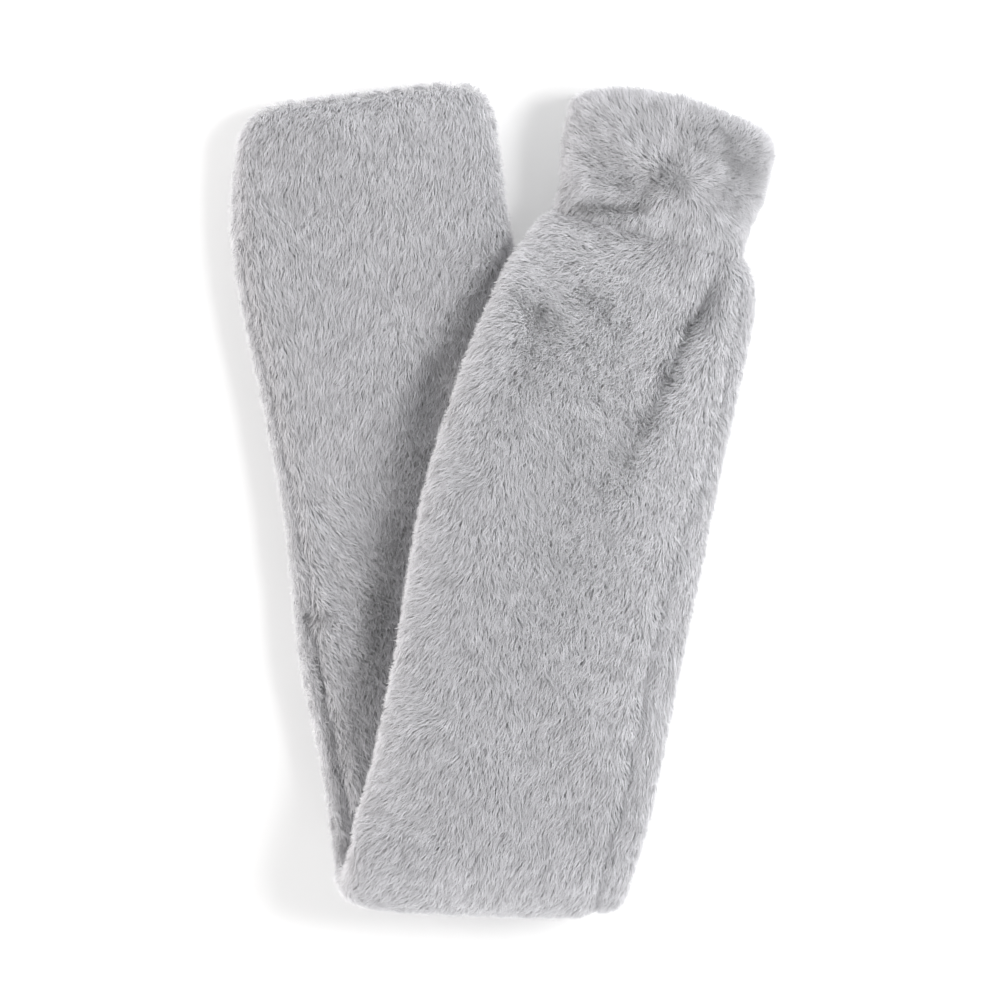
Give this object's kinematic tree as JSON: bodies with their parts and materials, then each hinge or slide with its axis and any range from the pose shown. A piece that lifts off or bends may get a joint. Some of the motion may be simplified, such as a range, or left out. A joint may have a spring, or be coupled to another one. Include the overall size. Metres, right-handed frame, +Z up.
{
  "type": "hot water bottle cover",
  "caption": "Long plush hot water bottle cover, a hollow sleeve with a turned-down collar at its neck, folded once across its middle into a narrow V and lying flat.",
  "frame": {"origin": "centre of the plan outline, on the surface that the folded cover lies on", "axes": "+Z up from the surface; +Y from the fold towards the closed end and the neck; +X towards the limb with the neck"},
  "size_m": [0.2596, 0.3984, 0.0702],
  "materials": {
    "plush": "soft short-pile plush"
  },
  "bodies": {
    "root": {"front_panel": "plush", "back_panel": "plush", "collar": "plush"}
  },
  "joints": []
}
